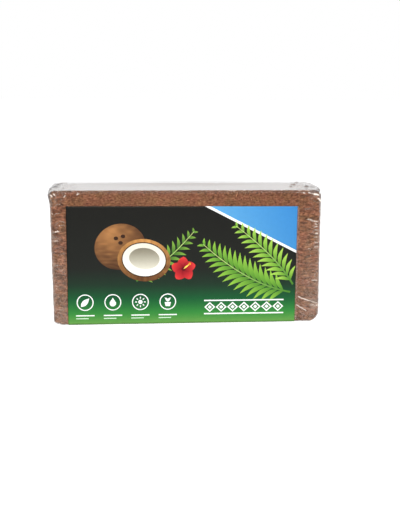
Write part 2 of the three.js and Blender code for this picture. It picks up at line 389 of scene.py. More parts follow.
def make_block():
    lines = [end_lines(SLAB[0], BARE_PROUD, 26, 1.0, 2.0), end_lines(DEPTH, BARE_PROUD, 2, 0.5, 1.4),
             even_lines(HEIGHT, BARE_PROUD, 0.5)]
    lattice, faces = box_lattice(lines)
    points, normals = on_slab(lattice, BARE_PROUD, BARE_RIM)
    # Painted shade: darker in the layers' hollows and lighter on their crests, and a painted contact shadow within
    # 1.6 mm of the ground.
    shade = BLOCK_SHADE * np.clip(1 - LAYER_SHADE * layered(points), 0.5, 1.5)
    shade *= 1 - BASE_SHADE * (1 - smoothstep(points[:, 2] + CENTRE_HEIGHT, 0.4, 1.6))
    points -= normals * coir_relief(points, normals)[:, None]
    material = coir_material("pressed_coir", (92, 57, 41), (126, 82, 59), (152, 106, 79), "tone_and_shade")
    piece = new_piece("coir_block", leaned(points), faces, [material])
    tone_and_shade = piece.data.attributes.new("tone_and_shade", "FLOAT", "POINT")
    tone_and_shade.data.foreach_set("value", shade)
    return piece


# Loose fibres and crumbs, wherever the paper leaves the coir bare.
def under_paper(points, normals, margin):
    """Whether each point of the block lies under the paper, or within margin of its edge."""
    x, _, z = leaned(points).T
    z = z + CENTRE_HEIGHT
    across = (x > PAPER_LOW.x - margin) & (x < PAPER_HIGH.x + margin)
    front = (normals[:, 1] < -0.5) & (z < PAPER_HIGH.z + margin)
    back = (normals[:, 1] > 0.5) & (z < PAPER_BACK_TOP + margin)
    return across & (front | back | (normals[:, 2] < -0.5))


def scatter(rng, count, margin):
    """Random places on the bare coir: points on the box round it, and which axis each faces."""
    half = SLAB / 2 + BARE_PROUD
    areas = np.array([half[1] * half[2], half[0] * half[2], half[0] * half[1]])
    found, facing = [], []
    while sum(len(f) for f in found) < count:
        axis = rng.choice(3, size=count, p=areas / areas.sum())
        places = rng.uniform(-1, 1, (count, 3)) * half
        side = rng.choice((-1, 1), size=count)
        places[np.arange(count), axis] = side * half[axis]
        points, normals = on_slab(places, BARE_PROUD, BARE_RIM)
        bare = ~under_paper(points, normals, margin)
        found.append(places[bare])
        facing.append(axis[bare])
    return np.concatenate(found)[:count], np.concatenate(facing)[:count]


PALE_FIBRES = [(37.0, 97.3, 78, 4.4), (49.0, 95.8, 96, 3.0), (-70.5, 98.6, 20, 3.2), (3.0, 94.6, 150, 3.6)]


def make_fibres(rng):
    count, joints, sides = 2600, 8, 3
    start, axis = scatter(rng, count, 1.0)
    half = SLAB / 2 + BARE_PROUD
    heading = rng.uniform(0, 2 * math.pi, count)
    bending = rng.normal(0, 0.16, count)
    length = rng.uniform(2.5, 11, count)
    thick = rng.uniform(0.05, 0.15, count)
    own = rng.uniform(0.55, 1.25, count)
    for k, (x, height, degrees, size) in enumerate(PALE_FIBRES):
        start[k] = x, -half[1], height - CENTRE_HEIGHT
        axis[k], heading[k], bending[k] = 1, math.radians(degrees), 0.08
        length[k], thick[k], own[k] = size, 0.36, 2.3
    plane = np.array([[1, 2], [0, 2], [0, 1]])[axis]
    rows = np.arange(count)
    place = start.copy()
    path = [place.copy()]
    for _ in range(joints - 1):
        heading = heading + bending + rng.normal(0, 0.1, count)
        step = length / (joints - 1)
        place[rows, plane[:, 0]] += np.cos(heading) * step
        place[rows, plane[:, 1]] += np.sin(heading) * step
        place = np.clip(place, -half, half)
        path.append(place.copy())
    path = np.stack(path, axis=1).reshape(-1, 3)
    points, normals = on_slab(path, BARE_PROUD, BARE_RIM)
    hidden = under_paper(points, normals, 0.6).reshape(count, joints).any(axis=1)
    depth = coir_relief(points, normals) - 0.05
    points = (points - normals * depth[:, None]).reshape(count, joints, 3)[~hidden]
    normals = normals.reshape(count, joints, 3)[~hidden]
    thick = thick[~hidden]
    kept = len(points)
    along = np.gradient(points, axis=1)
    along /= np.maximum(np.linalg.norm(along, axis=2, keepdims=True), 1e-6)
    across = np.cross(normals, along)
    taper = np.sin(np.linspace(0.25, math.pi - 0.25, joints)) ** 0.5
    radius = thick[:, None, None] * taper[None, :, None]
    rings = []
    for k in range(sides):
        turn = 2 * math.pi * k / sides + math.pi / 2
        rings.append(points + radius * (math.cos(turn) * across + math.sin(turn) * normals))
    ring = np.stack(rings, axis=2)
    index = np.arange(kept * joints * sides).reshape(kept, joints, sides)
    faces = []
    for k in range(sides):
        m = (k + 1) % sides
        quad = np.stack([index[:, :-1, k], index[:, :-1, m], index[:, 1:, m], index[:, 1:, k]], axis=-1)
        faces += quad.reshape(-1, 4).tolist()
    faces += index[:, 0, ::-1].tolist()
    faces += index[:, -1, :].tolist()
    mesh = bpy.data.meshes.new("coir_fibres")
    placed = (leaned(ring.reshape(-1, 3)) + (0, 0, CENTRE_HEIGHT)) * MM
    mesh.from_pydata(placed.tolist(), [], faces)
    material = coir_material("loose_fibre", (94, 60, 42), (136, 94, 68), (170, 128, 98), "tone_and_shade")
    mesh.materials.append(material)
    tone_and_shade = mesh.attributes.new("tone_and_shade", "FLOAT", "POINT")
    tone_and_shade.data.foreach_set("value", np.repeat(own[~hidden], joints * sides))
    piece = bpy.data.objects.new("coir_fibres", mesh)
    bpy.context.collection.objects.link(piece)
    return piece


EDGE_CRUMBS, CRUMB_SIDES, CRUMB_RISE = 650, 6, 0.25


def make_crumbs(rng):
    start, _ = scatter(rng, 7000, 0.8)
    half = SLAB / 2 + BARE_PROUD
    edge = rng.uniform((-half[0], -half[1], half[2] - 4.5), (half[0], -half[1], half[2] - 0.3), (EDGE_CRUMBS, 3))
    start = np.concatenate([start, edge])
    count = len(start)
    points, normals = on_slab(start, BARE_PROUD, BARE_RIM)
    points = points - normals * (coir_relief(points, normals) - 0.02)[:, None]
    size = rng.uniform(0.25, 0.62, count) ** 1.4 * 1.35
    guide = rng.normal(size=(count, 3))
    across = np.cross(normals, guide)
    across /= np.linalg.norm(across, axis=1, keepdims=True)
    other = np.cross(normals, across)
    corners = []
    for k in range(CRUMB_SIDES):
        turn = 2 * math.pi * (k + rng.uniform(-0.35, 0.35, (count, 1))) / CRUMB_SIDES
        reach = (size * rng.uniform(0.5, 1.2, count))[:, None]
        corners.append(points + reach * (across * np.cos(turn) + other * np.sin(turn)))
    for side in (1, -1):
        corners.append(points + normals * (side * CRUMB_RISE * size)[:, None])
    corners = np.stack(corners, axis=1).reshape(-1, 3)
    ring = [(k, (k + 1) % CRUMB_SIDES) for k in range(CRUMB_SIDES)]
    crumb = [(a, b, CRUMB_SIDES) for a, b in ring] + [(b, a, CRUMB_SIDES + 1) for a, b in ring]
    base = np.arange(count)[:, None, None] * (CRUMB_SIDES + 2)
    faces = (base + np.array(crumb)[None]).reshape(-1, 3)
    material = coir_material("loose_crumb", (66, 40, 28), (112, 72, 52), (150, 106, 80), "tone_and_shade")
    piece = new_piece("coir_crumbs", leaned(corners), faces, [material], smooth=False)
    tone_and_shade = piece.data.attributes.new("tone_and_shade", "FLOAT", "POINT")
    tone_and_shade.data.foreach_set("value", np.repeat(rng.uniform(0.5, 1.3, count), CRUMB_SIDES + 2))
    return piece


# The printed design, drawn on the flat sheet: x to the right from its left edge, y the height above
# the ground on the front, running on below zero under the base and up the back.
SHEET_WIDTH = PAPER_HIGH.x - PAPER_LOW.x
BEND_RADIUS = 0.5
BEND_START = CENTRE_HEIGHT - HEIGHT / 2 - PAPER_OUTSIDE + BEND_RADIUS
BEND_LENGTH = BEND_RADIUS * math.pi / 2
BASE_LENGTH = DEPTH + 2 * (PAPER_OUTSIDE - BEND_RADIUS)
BACK_START = BEND_START - 2 * BEND_LENGTH - BASE_LENGTH
SHEET_TOP = PAPER_HIGH.z + 0.3
SHEET_END = BACK_START - (PAPER_BACK_TOP - BEND_START)

WHITE = (246, 248, 246)
SKY = (93, 163, 212)
DEEP_SKY = (58, 134, 196)
LIME = (158, 205, 74)
LEAF_GREEN = (74, 132, 42)
AMBER = (226, 152, 38)
RED = (196, 34, 40)
HUSK = (128, 84, 46)
SHELL = (58, 36, 24)
FLESH = (243, 240, 230)


def blend(a, b, share):
    share = np.clip(np.asarray(share, float), 0, 1)[:, None]
    return np.asarray(a, float) * (1 - share) + np.asarray(b, float) * share


def backdrop(points):
    """Charcoal at the top of the front and back, turning to green towards the base, with a painted shadow: a darker
    green along the bottom edge of each.
    """
    y = points[:, 1]
    back = y < BACK_START + BEND_LENGTH
    height = np.where(back, BACK_START + BEND_START - y, y).clip(0)
    # The first stop paints a thin contact shadow at the foot of the print.
    stops = [(0, (58, 92, 40)), (0.9, (104, 157, 74)), (9, (52, 136, 58)), (20, (20, 90, 48)), (31, (28, 54, 38)),
             (44, (31, 34, 30)), (92, (24, 24, 21))]
    heights = [h for h, _ in stops]
    return np.stack([np.interp(height, heights, [c[k] for _, c in stops]) for k in range(3)], axis=1)


class Sheet:
    """The print's shapes in the order that they are laid down, each with its outlines and colour."""

    def __init__(self):
        self.shapes = []
        self.turned = False

    def turn(self, points):
        """From the back panel, as its viewer sees it, to the sheet, and the same way back again."""
        return np.array([SHEET_WIDTH, BACK_START + BEND_START]) - points

    def add(self, loops, paint):
        loops = [np.asarray(loop, float) for loop in loops]
        turned = self.turned
        if turned:
            loops = [self.turn(loop) for loop in loops]
        if callable(paint):
            shade = (lambda p: paint(self.turn(p))) if turned else paint
        else:
            shade = lambda p: np.tile(np.asarray(paint, float), (len(p), 1))
        self.shapes.append((loops, shade))


def ellipse(x, y, rx, ry, turn=0.0, count=56):
    a = np.linspace(0, 2 * math.pi, count, endpoint=False)
    px, py = rx * np.cos(a), ry * np.sin(a)
    c, s = math.cos(turn), math.sin(turn)
    return np.stack([x + c * px - s * py, y + s * px + c * py], axis=1)


def bar(x, y, length, thick):
    return np.array([(x, y), (x + length, y), (x + length, y + thick), (x, y + thick)])


def leaf(base, tip, width, bow=0.0, blunt=1.0, count=12):
    """A pointed leaf from base to tip. bow bends it sideways, and blunt below 1 rounds its ends."""
    base, tip = np.asarray(base, float), np.asarray(tip, float)
    along = tip - base
    side = np.array([-along[1], along[0]]) / np.linalg.norm(along)
    s = np.linspace(0, 1, count)[:, None]
    spine = base + along * s + side * bow * np.sin(math.pi * s)
    reach = width / 2 * np.sin(math.pi * s ** 0.85) ** blunt
    return np.concatenate([spine + side * reach, (spine - side * reach)[-2:0:-1]])


def lit_from(a, b, dark, light):
    """A colour that turns from dark at a to light at b."""
    a, b = np.asarray(a, float), np.asarray(b, float)
    span = b - a
    return lambda p: blend(dark, light, (p - a) @ span / (span @ span))


def draw_frond(sheet, base, middle, tip, pairs, reach, dark, light):
    """A palm frond: a curved rib with a pair of narrow leaflets at each step."""
    base, middle, tip = (np.asarray(p, float) for p in (base, middle, tip))

    def rib(s):
        return (1 - s) ** 2 * base + 2 * s * (1 - s) * middle + s ** 2 * tip

    for k in range(pairs):
        s = 0.08 + 0.9 * k / (pairs - 1)
        root, ahead = rib(s), rib(s + 0.02) - rib(s)
        ahead /= np.linalg.norm(ahead)
        side = np.array([-ahead[1], ahead[0]])
        long = reach * math.sin(math.pi * (0.2 + 0.75 * s)) ** 0.7
        for hand in (-1, 1):
            lean = 0.75 + 0.35 * s
            end = root + long * (side * hand + ahead * lean) / math.hypot(1, lean)
            outline = leaf(root, end, 0.13 * long + 1.1, bow=-hand * 0.1 * long)
            sheet.add([outline], lit_from(root, end, dark, light))
    s = np.linspace(0, 1, 24)[:, None]
    line = rib(s)
    ahead = np.gradient(line, axis=0)
    ahead /= np.linalg.norm(ahead, axis=1, keepdims=True)
    side = np.stack([-ahead[:, 1], ahead[:, 0]], axis=1)
    half = 0.75 * (1 - 0.8 * s)
    sheet.add([np.concatenate([line + side * half, (line - side * half)[::-1]])],
              lit_from(base, tip, LEAF_GREEN, (222, 236, 150)))


def draw_coconuts(sheet, x, y, size):
    """A whole coconut with a halved one in front of it."""
    whole = (x - 0.95 * size, y + 0.55 * size)

    def husk(p):
        away = np.hypot(p[:, 0] - whole[0] + 0.4 * size, p[:, 1] - whole[1] - 0.5 * size) / size
        strands = np.array([noise.noise(Vector((3.0 * q[0] / size, 14.0 * q[1] / size, 4))) for q in p])
        return blend((176, 124, 74), (74, 46, 28), away * 0.62 + strands * 0.32)

    sheet.add([ellipse(*whole, 1.02 * size, 0.92 * size, 0.3)], husk)
    for across, up in [(-0.16, 0.34), (0.12, 0.42), (0.02, 0.16)]:
        sheet.add([ellipse(whole[0] + across * size, whole[1] + up * size, 0.09 * size, 0.075 * size)], SHELL)

    def rind(p):
        around = np.arctan2(p[:, 1] - y, p[:, 0] - x)
        strands = np.array([noise.noise(Vector((5.0 * a, 0.4 * q[0], 9))) for a, q in zip(around, p)])
        lit = 0.5 - 0.4 * np.sin(around) - 0.3 * strands
        return blend((206, 150, 84), (96, 60, 34), lit)

    sheet.add([ellipse(x, y, 1.06 * size, 0.86 * size, -0.12)], rind)
    sheet.add([ellipse(x, y + 0.02 * size, 0.90 * size, 0.71 * size, -0.12)], SHELL)
    sheet.add([ellipse(x, y + 0.02 * size, 0.86 * size, 0.67 * size, -0.12)],
              lit_from((x, y + size), (x, y - size), (222, 216, 200), (255, 253, 246)))
    hollow = (x + 0.01 * size, y + 0.07 * size)
    sheet.add([ellipse(*hollow, 0.61 * size, 0.43 * size, -0.12)],
              lit_from((x, y + 0.55 * size), (x, y - 0.4 * size), (128, 122, 104), (226, 222, 206)))


def draw_flower(sheet, x, y, size):
    """A five-petalled tropical flower."""
    for k in range(5):
        a = math.radians(90 + 72 * k)
        tip = (x + size * math.cos(a), y + size * math.sin(a))
        paint = lit_from((x, y), tip, (132, 12, 26), (226, 62, 60))
        sheet.add([leaf((x, y), tip, 0.86 * size, bow=0.06 * size, blunt=0.55, count=16)], paint)
    sheet.add([ellipse(x, y, 0.17 * size, 0.17 * size, count=20)], (96, 8, 20))
    sheet.add([leaf((x, y), (x + 0.5 * size, y + 0.42 * size), 0.12 * size)], (250, 214, 96))
    sheet.add([ellipse(x + 0.5 * size, y + 0.42 * size, 0.1 * size, 0.1 * size, count=16)], AMBER)


def drop(x, y, size):
    a = np.linspace(0, 2 * math.pi, 32, endpoint=False)
    pinch = np.clip(np.sin(a), 0, 1) ** 3
    return np.stack([x + size * np.cos(a) * (1 - 0.75 * pinch), y + size * (np.sin(a) + 0.75 * pinch)], axis=1)


def draw_badge(sheet, x, y, size, kind):
    """A white ring round a small white picture of what a plant needs."""
    sheet.add([ellipse(x, y, size, size, count=40), ellipse(x, y, 0.88 * size, 0.88 * size, count=40)], WHITE)
    if kind == "leaf":
        sheet.add([leaf((x - 0.5 * size, y - 0.5 * size), (x + 0.5 * size, y + 0.52 * size), 0.62 * size)], WHITE)
    elif kind == "water":
        sheet.add([drop(x, y - 0.12 * size, 0.38 * size)], WHITE)
    elif kind == "sun":
        sheet.add([ellipse(x, y, 0.26 * size, 0.26 * size, count=24)], WHITE)
        for k in range(8):
            a = math.radians(45 * k)
            inner, outer = 0.38 * size, 0.66 * size
            sheet.add([leaf((x + inner * math.cos(a), y + inner * math.sin(a)),
                            (x + outer * math.cos(a), y + outer * math.sin(a)), 0.14 * size, blunt=0.4,
                            count=6)], WHITE)
    elif kind == "pot":
        low, high = y - 0.55 * size, y - 0.05 * size
        sheet.add([np.array([(x - 0.26 * size, low), (x + 0.26 * size, low),
                             (x + 0.38 * size, high), (x - 0.38 * size, high)])], WHITE)
        for hand in (-1, 1):
            tip = (x + hand * 0.36 * size, y + 0.52 * size)
            sheet.add([leaf((x, y), tip, 0.26 * size, bow=hand * 0.06 * size)], WHITE)


def draw_band(sheet, x, y, width, height, count):
    """A woven band of diamonds between two lines."""
    sheet.add([bar(x, y, width, 0.09 * height)], WHITE)
    sheet.add([bar(x, y + 0.91 * height, width, 0.09 * height)], WHITE)
    pitch = width / count
    middle = y + height / 2

    def diamond(cx, share):
        rx, ry = share * pitch / 2, share * 0.36 * height
        return np.array([(cx - rx, middle), (cx, middle - ry), (cx + rx, middle), (cx, middle + ry)])

    for k in range(count):
        cx = x + pitch * (k + 0.5)
        sheet.add([diamond(cx, 0.96), diamond(cx, 0.66)], WHITE)
        sheet.add([diamond(cx, 0.36)], WHITE)


def draw_front(sheet):
    corner = [(108, SHEET_TOP), (SHEET_WIDTH, SHEET_TOP), (SHEET_WIDTH, 57)]
    rule = [(104, SHEET_TOP), (108.2, SHEET_TOP), (SHEET_WIDTH, 56.9), (SHEET_WIDTH, 54.8)]
    sheet.add([np.array(corner)], lit_from((120, 70), (170, 92), SKY, DEEP_SKY))
    sheet.add([np.array(rule)], WHITE)
    draw_frond(sheet, (171, 24), (138, 30), (103, 62), 15, 19, LEAF_GREEN, LIME)
    draw_frond(sheet, (173, 30), (160, 52), (128, 76), 12, 15, (92, 148, 44), (186, 222, 96))
    draw_frond(sheet, (52, 34), (74, 46), (96, 72), 11, 12, (58, 104, 40), (142, 186, 70))
    draw_coconuts(sheet, 58, 50, 19)
    draw_flower(sheet, 88, 43, 9.5)
    for k, kind in enumerate(("leaf", "water", "sun", "pot")):
        x = 13 + 21 * k
        draw_badge(sheet, x, 17.5, 6.4, kind)
        sheet.add([bar(x - 7, 6.8, 14, 0.9)], WHITE)
        sheet.add([bar(x - 7, 4.6, 9.5, 0.7)], (214, 234, 214))
    draw_band(sheet, 104, 7, 62, 11.5, 7)


def draw_back(sheet):
    sheet.turned = True
    draw_frond(sheet, (4, 30), (20, 52), (52, 66), 11, 13, LEAF_GREEN, LIME)
    draw_coconuts(sheet, 40, 44, 12)
    for k, kind in enumerate(("water", "pot", "sun")):
        x = 92 + 26 * k
        draw_badge(sheet, x, 54, 8.5, kind)
        for row in range(3):
            sheet.add([bar(x - 9, 40 - 3.2 * row, 18 - 4 * (row % 2), 0.8)], (214, 234, 214))
    draw_band(sheet, 12, 12, 150, 10, 16)
    sheet.turned = False


def inside(points, loops):
    """Whether each point lies inside the outlines, by the even-odd rule."""
    crossings = np.zeros(len(points), int)
    x, y = points.T
    for loop in loops:
        ax, ay = loop.T
        bx, by = np.roll(loop, -1, axis=0).T
        for x0, y0, x1, y1 in zip(ax, ay, bx, by):
            if y0 == y1:
                continue
            spans = (y0 > y) != (y1 > y)
            crossings += spans & (x < x0 + (y - y0) * (x1 - x0) / (y1 - y0))
    return crossings % 2 == 1


def grid_points():
    """Points over the sheet, closest where the print is finest and round the two bends."""
    def rows(top, low, step):
        return np.linspace(top, low, max(2, int(round((top - low) / step)) + 1))

    bend = BEND_LENGTH
    spans = [(SHEET_TOP, BEND_START, 1.3, 1.3), (BEND_START, BEND_START - bend, 0.6, 2.6),
             (BEND_START - bend, BACK_START + bend, 4.0, 4.0), (BACK_START + bend, BACK_START, 0.6, 2.6),
             (BACK_START, SHEET_END, 2.2, 2.2)]
    points = []
    for top, low, step, across in spans:
        columns = np.linspace(0, SHEET_WIDTH, int(round(SHEET_WIDTH / across)) + 1)
        for y in rows(top, low, step):
            points += [(x, y) for x in columns]
    return points


def paper_place(sheet_points, lift):
    """Where points of the flat sheet lie on the block, about its centre."""
    x, t = sheet_points.T
    s = BEND_START - t
    first = np.clip(s / BEND_RADIUS, 0, math.pi / 2)
    along = np.clip(s - BEND_LENGTH, 0, BASE_LENGTH)
    second = np.clip((s - BEND_LENGTH - BASE_LENGTH) / BEND_RADIUS, 0, math.pi / 2)
    rise = np.maximum(-s, 0) + np.maximum(s - 2 * BEND_LENGTH - BASE_LENGTH, 0)
    angle = first + second
    radius = BEND_RADIUS + lift
    tilt = PAPER_TILT * (x - SHEET_WIDTH / 2) * np.maximum(-s, 0) / (SHEET_TOP - BEND_START)
    y = -BASE_LENGTH / 2 + along - radius * np.cos(angle)
    z = BEND_START + rise + tilt - radius * np.sin(angle) - CENTRE_HEIGHT
    return np.stack([PAPER_LOW.x + x, y, z], axis=1)


def make_paper():
    sheet = Sheet()
    draw_front(sheet)
    draw_back(sheet)
    vertices = [Vector(p) for p in grid_points()]
    edges = []
    for loops, _ in sheet.shapes:
        for loop in loops:
            first = len(vertices)
            vertices += [Vector(p) for p in loop]
            edges += [(first + k, first + (k + 1) % len(loop)) for k in range(len(loop))]
    made = delaunay_2d_cdt(vertices, edges, [], 0, 1e-3)
    flat = np.array([(v.x, v.y) for v in made[0]])
    triangles = np.array(made[2])
    centres = flat[triangles].mean(axis=1)
    kept = (centres[:, 0] > 0) & (centres[:, 0] < SHEET_WIDTH)
    kept &= (centres[:, 1] < SHEET_TOP) & (centres[:, 1] > SHEET_END)
    triangles, centres = triangles[kept], centres[kept]
    corners = flat[triangles].reshape(-1, 2)
    colour = backdrop(corners)
    for loops, paint in sheet.shapes:
        low = np.min([loop.min(axis=0) for loop in loops], axis=0)
        high = np.max([loop.max(axis=0) for loop in loops], axis=0)
        near = np.flatnonzero(((centres >= low) & (centres <= high)).all(axis=1))
        hit = near[inside(centres[near], loops)]
        if len(hit):
            at = (hit[:, None] * 3 + np.arange(3)).ravel()
            colour[at] = paint(corners[at])
    used, triangles = np.unique(triangles, return_inverse=True)
    triangles = triangles.reshape(-1, 3)
    flat = flat[used]
    spread = np.column_stack([flat, np.zeros(len(flat))])
    lift = 0.04 * field(spread, 26.0) + 0.015 * field(spread, 7.0)
    points = paper_place(flat, lift)
    a, b, c = (flat[triangles[:, k]] for k in range(3))
    area = np.cross(b - a, c - a)
    triangles[area < 0] = triangles[area < 0][:, ::-1]
    colour = colour.reshape(-1, 3, 3)
    colour[area < 0] = colour[area < 0][:, ::-1]
    piece = new_piece("paper_label", points, triangles, [paper_material(), paper_core_material()])
    ink = piece.data.color_attributes.new("ink", "FLOAT_COLOR", "CORNER")
    values = np.column_stack([linear(np.clip(colour.reshape(-1, 3), 0, 255)), np.ones(len(triangles) * 3)])
    ink.data.foreach_set("color", values.ravel())
    thicken(piece, PAPER_THICK, offset=-1, inside=1, rim=1)
    return piece


def thicken(piece, thickness, offset, inside=0, rim=0):
    """Gives a sheet its thickness, with its own materials inside and along its cut edge."""
    solid = piece.modifiers.new("thickness", "SOLIDIFY")
    solid.thickness = thickness * MM
    solid.offset = offset
    solid.material_offset = inside
    solid.material_offset_rim = rim
    solid.use_even_offset = False
    bpy.context.view_layer.objects.active = piece
    with bpy.context.temp_override(object=piece):
        bpy.ops.object.modifier_apply(modifier=solid.name)


# The film. Each fold on the front is given by the points that the middle of its upper side runs through (x, height),
# by the width of that side, which faces the light, and by how milky the fold is. That milk is mostly a highlight
# painted along the lit side, and partly the fold's own whiteness.
FOLDS = [
    ([(-100.5, 99.8), (-100.3, 99.5)], 1.2, 0.56),
    ([(-101.0, 98.0), (-100.8, 97.0)], 0.6, 0.25),
    ([(-98.7, 100.8), (-98.2, 100.2)], 0.9, 0.60),
    ([(-91.2, 98.9), (-90.5, 99.5)], 0.9, 0.50),
    ([(-81.5, 100.6), (-81.0, 100.8)], 1.0, 0.54),
    ([(-98.7, 90.6), (-98.1, 92.1), (-96.9, 93.0), (-94.3, 93.2)], 0.72, 0.14),
    ([(-98.9, 84.8), (-97.7, 86.1), (-95.3, 86.3)], 0.7, 0.12),
    ([(-98.2, 77.6), (-96.8, 79.4), (-95.1, 80.3), (-92.5, 79.9)], 0.72, 0.14),
    ([(-98.0, 75.3), (-96.0, 76.9), (-92.4, 77.4)], 0.7, 0.12),
    ([(-99.5, 72.2), (-98.0, 72.5), (-96.6, 72.6)], 1.3, 0.30),
    ([(-99.6, 65.3), (-97.6, 65.7)], 1.1, 0.22),
    ([(-99.6, 59.4), (-97.9, 60.7), (-95.8, 61.0)], 0.8, 0.08),
    ([(-99.5, 56.8), (-97.0, 58.1)], 0.8, 0.06),
    ([(-96.4, 54.8), (-92.7, 56.4)], 0.8, 0.06),
    ([(-95.3, 45.8), (-94.2, 47.4)], 0.9, 0.04),
    ([(88.8, 101.2), (89.0, 101.1)], 1.0, 0.60),
    ([(93.0, 101.2), (93.3, 101.1)], 0.9, 0.56),
    ([(94.0, 100.8), (96.9, 100.3)], 0.8, 0.42),
    ([(97.3, 100.2), (99.5, 99.8)], 1.4, 0.60),
    ([(100.0, 96.8), (100.6, 96.1)], 1.3, 0.50),
    ([(100.9, 95.2), (101.9, 94.5)], 0.9, 0.32),
    ([(90.9, 88.7), (93.7, 89.0)], 1.0, 0.14),
    ([(84.5, 101.4), (84.8, 101.4)], 0.5, 0.42),
    ([(86.7, 101.6), (86.9, 101.5)], 0.5, 0.50),
    ([(92.9, 80.8), (94.9, 80.3), (96.9, 79.4), (99.8, 79.0)], 1.2, 0.34),
    ([(98.3, 77.2), (99.2, 76.9)], 1.0, 0.42),
    ([(98.7, 75.1), (99.4, 75.2)], 1.0, 0.42),
    ([(98.8, 72.8), (99.4, 72.6)], 1.0, 0.36),
    ([(98.9, 69.8), (99.8, 69.9)], 1.1, 0.44),
    ([(98.4, 66.9), (99.2, 67.1)], 1.1, 0.40),
    ([(98.8, 63.0), (100.2, 62.7)], 1.0, 0.34),
    ([(98.9, 59.5), (100.2, 59.7)], 1.0, 0.36),
    ([(92.7, 57.5), (94.3, 57.8)], 1.1, 0.10),
    ([(86.2, 20.2), (88.0, 19.1), (90.7, 18.2), (93.2, 17.3)], 0.85, 0.54),
    ([(93.2, 17.3), (95.5, 16.6), (100.9, 14.8)], 0.8, 0.40),
    ([(84.6, 13.7), (87.6, 11.7), (92.0, 9.2)], 0.8, 0.54),
    ([(95.8, 13.3), (98.1, 13.5)], 1.0, 0.22),
    ([(99.4, 13.0), (100.6, 13.1)], 1.0, 0.22),
    ([(88.2, 7.3), (91.3, 5.5)], 0.8, 0.14),
    ([(97.6, 33.0), (100.5, 32.9)], 1.1, 0.34),
    ([(83.4, 4.3), (84.6, 4.4)], 0.8, 0.14),
    ([(99.4, 37.8), (100.5, 40.0)], 1.2, 0.14),
]
FOLD_SLOPE, FOLD_EASE, STEEPEST, ROUNDED_CREST = 0.54, 0.00125, 0.7, 1.2
TOP_LUMPS = [(86.6, 6.5, 0.8), (88.5, 7.2, 1.0), (95.1, -8.5, 1.3), (97.5, -11.0, 0.8), (83.3, -6.8, 0.8),
             (93.2, 20.3, 0.9), (100.4, -22.0, 1.1), (101.0, -7.2, 0.8), (100.5, 13.1, 0.7), (76.0, -19.0, 0.6),
             (-98.2, -7.9, 1.1), (-97.7, 7.9, 1.0), (-93.1, -15.0, 0.6), (-96.5, 18.0, 0.7),
             (-100.3, -16.9, 0.9), (-100.6, 0.0, 0.6)]
LUMP_HEIGHT, LUMP_ACROSS, LUMP_DEEP = 1.35, 1.7, 2.0
SEAL_HEIGHT, SEAL_WIDTH = 1.3, 0.9
EAR_TOP, EAR_BASE, EAR_CENTRE, EAR_HALF_WIDTH, EAR_TALL, EAR_INWARD = 2.6, 1.2, 5.0, 26.0, 9.0, 8.0
EAR_SQUARE_LEFT, EAR_SQUARE_RIGHT = 0.45, 0.8
LAP_HEIGHT, LAP_HALF_WIDTH = 0.35, 5.0
# The first number here paints a milky reflection along the film's rim at the ends, the second places a highlight line
# painted next to the paper's right edge, and the third paints pale sheen along streaks near the ends.
RIM_PAINTED_REFLECTION, PAPER_GAP, STREAK_PAINTED_SHEEN = 0.16, 0.7, 0.17
# The last number here paints a greyish milk band, a painted shade, along the top of the front.
PUCKER, PUCKER_DOWN, EDGE_PAINTED_SHADE = 0.7, 3.0, 0.08
FULL_RIGHT, FULL_HEIGHT, FULL_REACH = 0.4, 88.5, 7.0
NUB, NUB_SIZE, NUB_HEIGHT = (-101.5, -25.0, 99.6), (5.0, 8.0, 4.0), 1.2
TOP_BOW, BOW_PLACE, BOW_REACH = 1.25, 5.0, 66.0
PLEAT_SLOPE = -0.2
VENT_RADIUS, VENT_ACROSS, VENT_HEIGHT = 1.5, 62.0, 91.0


def fold_lift(points, normals):
    """How high the front's folds stand, how milky they are, and how near each point is to one. Each has a wide side
    that faces up and a steep one under it, and the milk is mostly a highlight painted along that lit side."""
    front = np.column_stack([points[:, 0], points[:, 2] + CENTRE_HEIGHT])
    lift, milk, near = np.zeros((3, len(points)))
    for path, width, milky in FOLDS:
        place = front + (0, width / 2)
        nearest = np.full(len(points), np.inf)
        above = np.zeros(len(points), bool)
        (x0, z0), (x1, z1) = path[0], path[-1]
        level = (x1 - x0) / math.hypot(x1 - x0, z1 - z0)
        slope = min((FOLD_SLOPE - FOLD_EASE * z0) / level, STEEPEST)
        for a, b in zip(np.array(path[:-1]), np.array(path[1:])):
            along = b - a
            share = np.clip((place - a) @ along / (along @ along), 0, 1)
            off = place - a - share[:, None] * along
            away = np.hypot(*off.T)
            above = np.where(away < nearest, along[0] * off[:, 1] > along[1] * off[:, 0], above)
            nearest = np.minimum(nearest, away)
        near = np.maximum(near, 1 - smoothstep(nearest, 0.7 * width, width + 0.5))
        share = np.clip(1 - nearest / np.where(above, width, 0.45 * width), 0, 1)
        rounded = share - ROUNDED_CREST * np.clip(share - 0.75, 0, None) ** 2
        lift = np.maximum(lift, slope * width * rounded)
        # Painted highlight: milk laid along the middle of the fold's lit upper side.
        uphill = np.where(above, nearest, -nearest)
        lit = 1 - np.abs(uphill - 0.5 * width) / (0.65 * width)
        milk = np.maximum(milk, milky * smoothstep(lit, 0, 0.6))
    facing = smoothstep(-normals[:, 1], 0.3, 0.8)
    return lift * facing, milk * facing, near * facing


def nub_share(points):
    """How close each point is to the lump at the front's top left corner."""
    away = (points + (0, 0, CENTRE_HEIGHT) - np.array(NUB)) / NUB_SIZE
    return np.exp(-(away ** 2).sum(axis=1))


